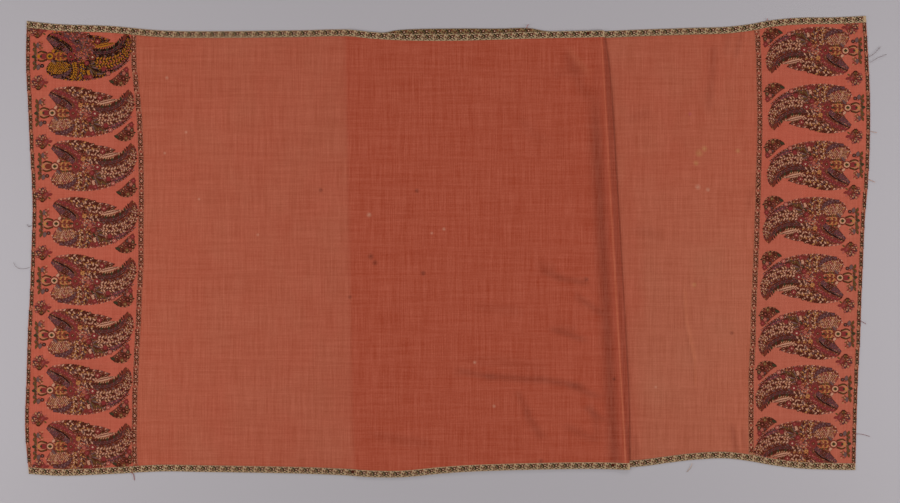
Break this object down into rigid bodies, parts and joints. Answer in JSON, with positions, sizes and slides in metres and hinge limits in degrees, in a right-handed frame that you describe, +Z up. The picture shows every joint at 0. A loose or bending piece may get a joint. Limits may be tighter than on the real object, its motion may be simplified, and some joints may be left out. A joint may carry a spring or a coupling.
{
  "type": "kashmiri shawl",
  "caption": "Long woven shawl laid flat with its middle folded under in a Z, with a paisley band at each end and narrow patterned borders.",
  "frame": {"origin": "middle of the laid-out shawl's outline, on the surface that it lies on", "axes": "+X along the shawl towards the end that lies under the fold, +Y across it, +Z up"},
  "size_m": [1.9434, 1.061, 0.0097],
  "materials": {
    "field": "matte fine wool twill",
    "paisley_ground": "matte fine wool twill",
    "guard": "matte patterned wool",
    "border": "matte patterned wool"
  },
  "bodies": {
    "root": {"field_upper": "field", "field_lower": "field", "end_ground_left": "paisley_ground", "end_ground_right": "paisley_ground", "outer_guard_left": "guard", "outer_guard_right": "guard", "inner_guard_left": "guard", "inner_guard_right": "guard", "border_upper_top": "border", "border_upper_bottom": "border", "border_lower_top": "border", "border_lower_bottom": "border", "hidden_layers": "field", "hidden_border_top": "border", "hidden_border_bottom": "border"}
  },
  "joints": []
}
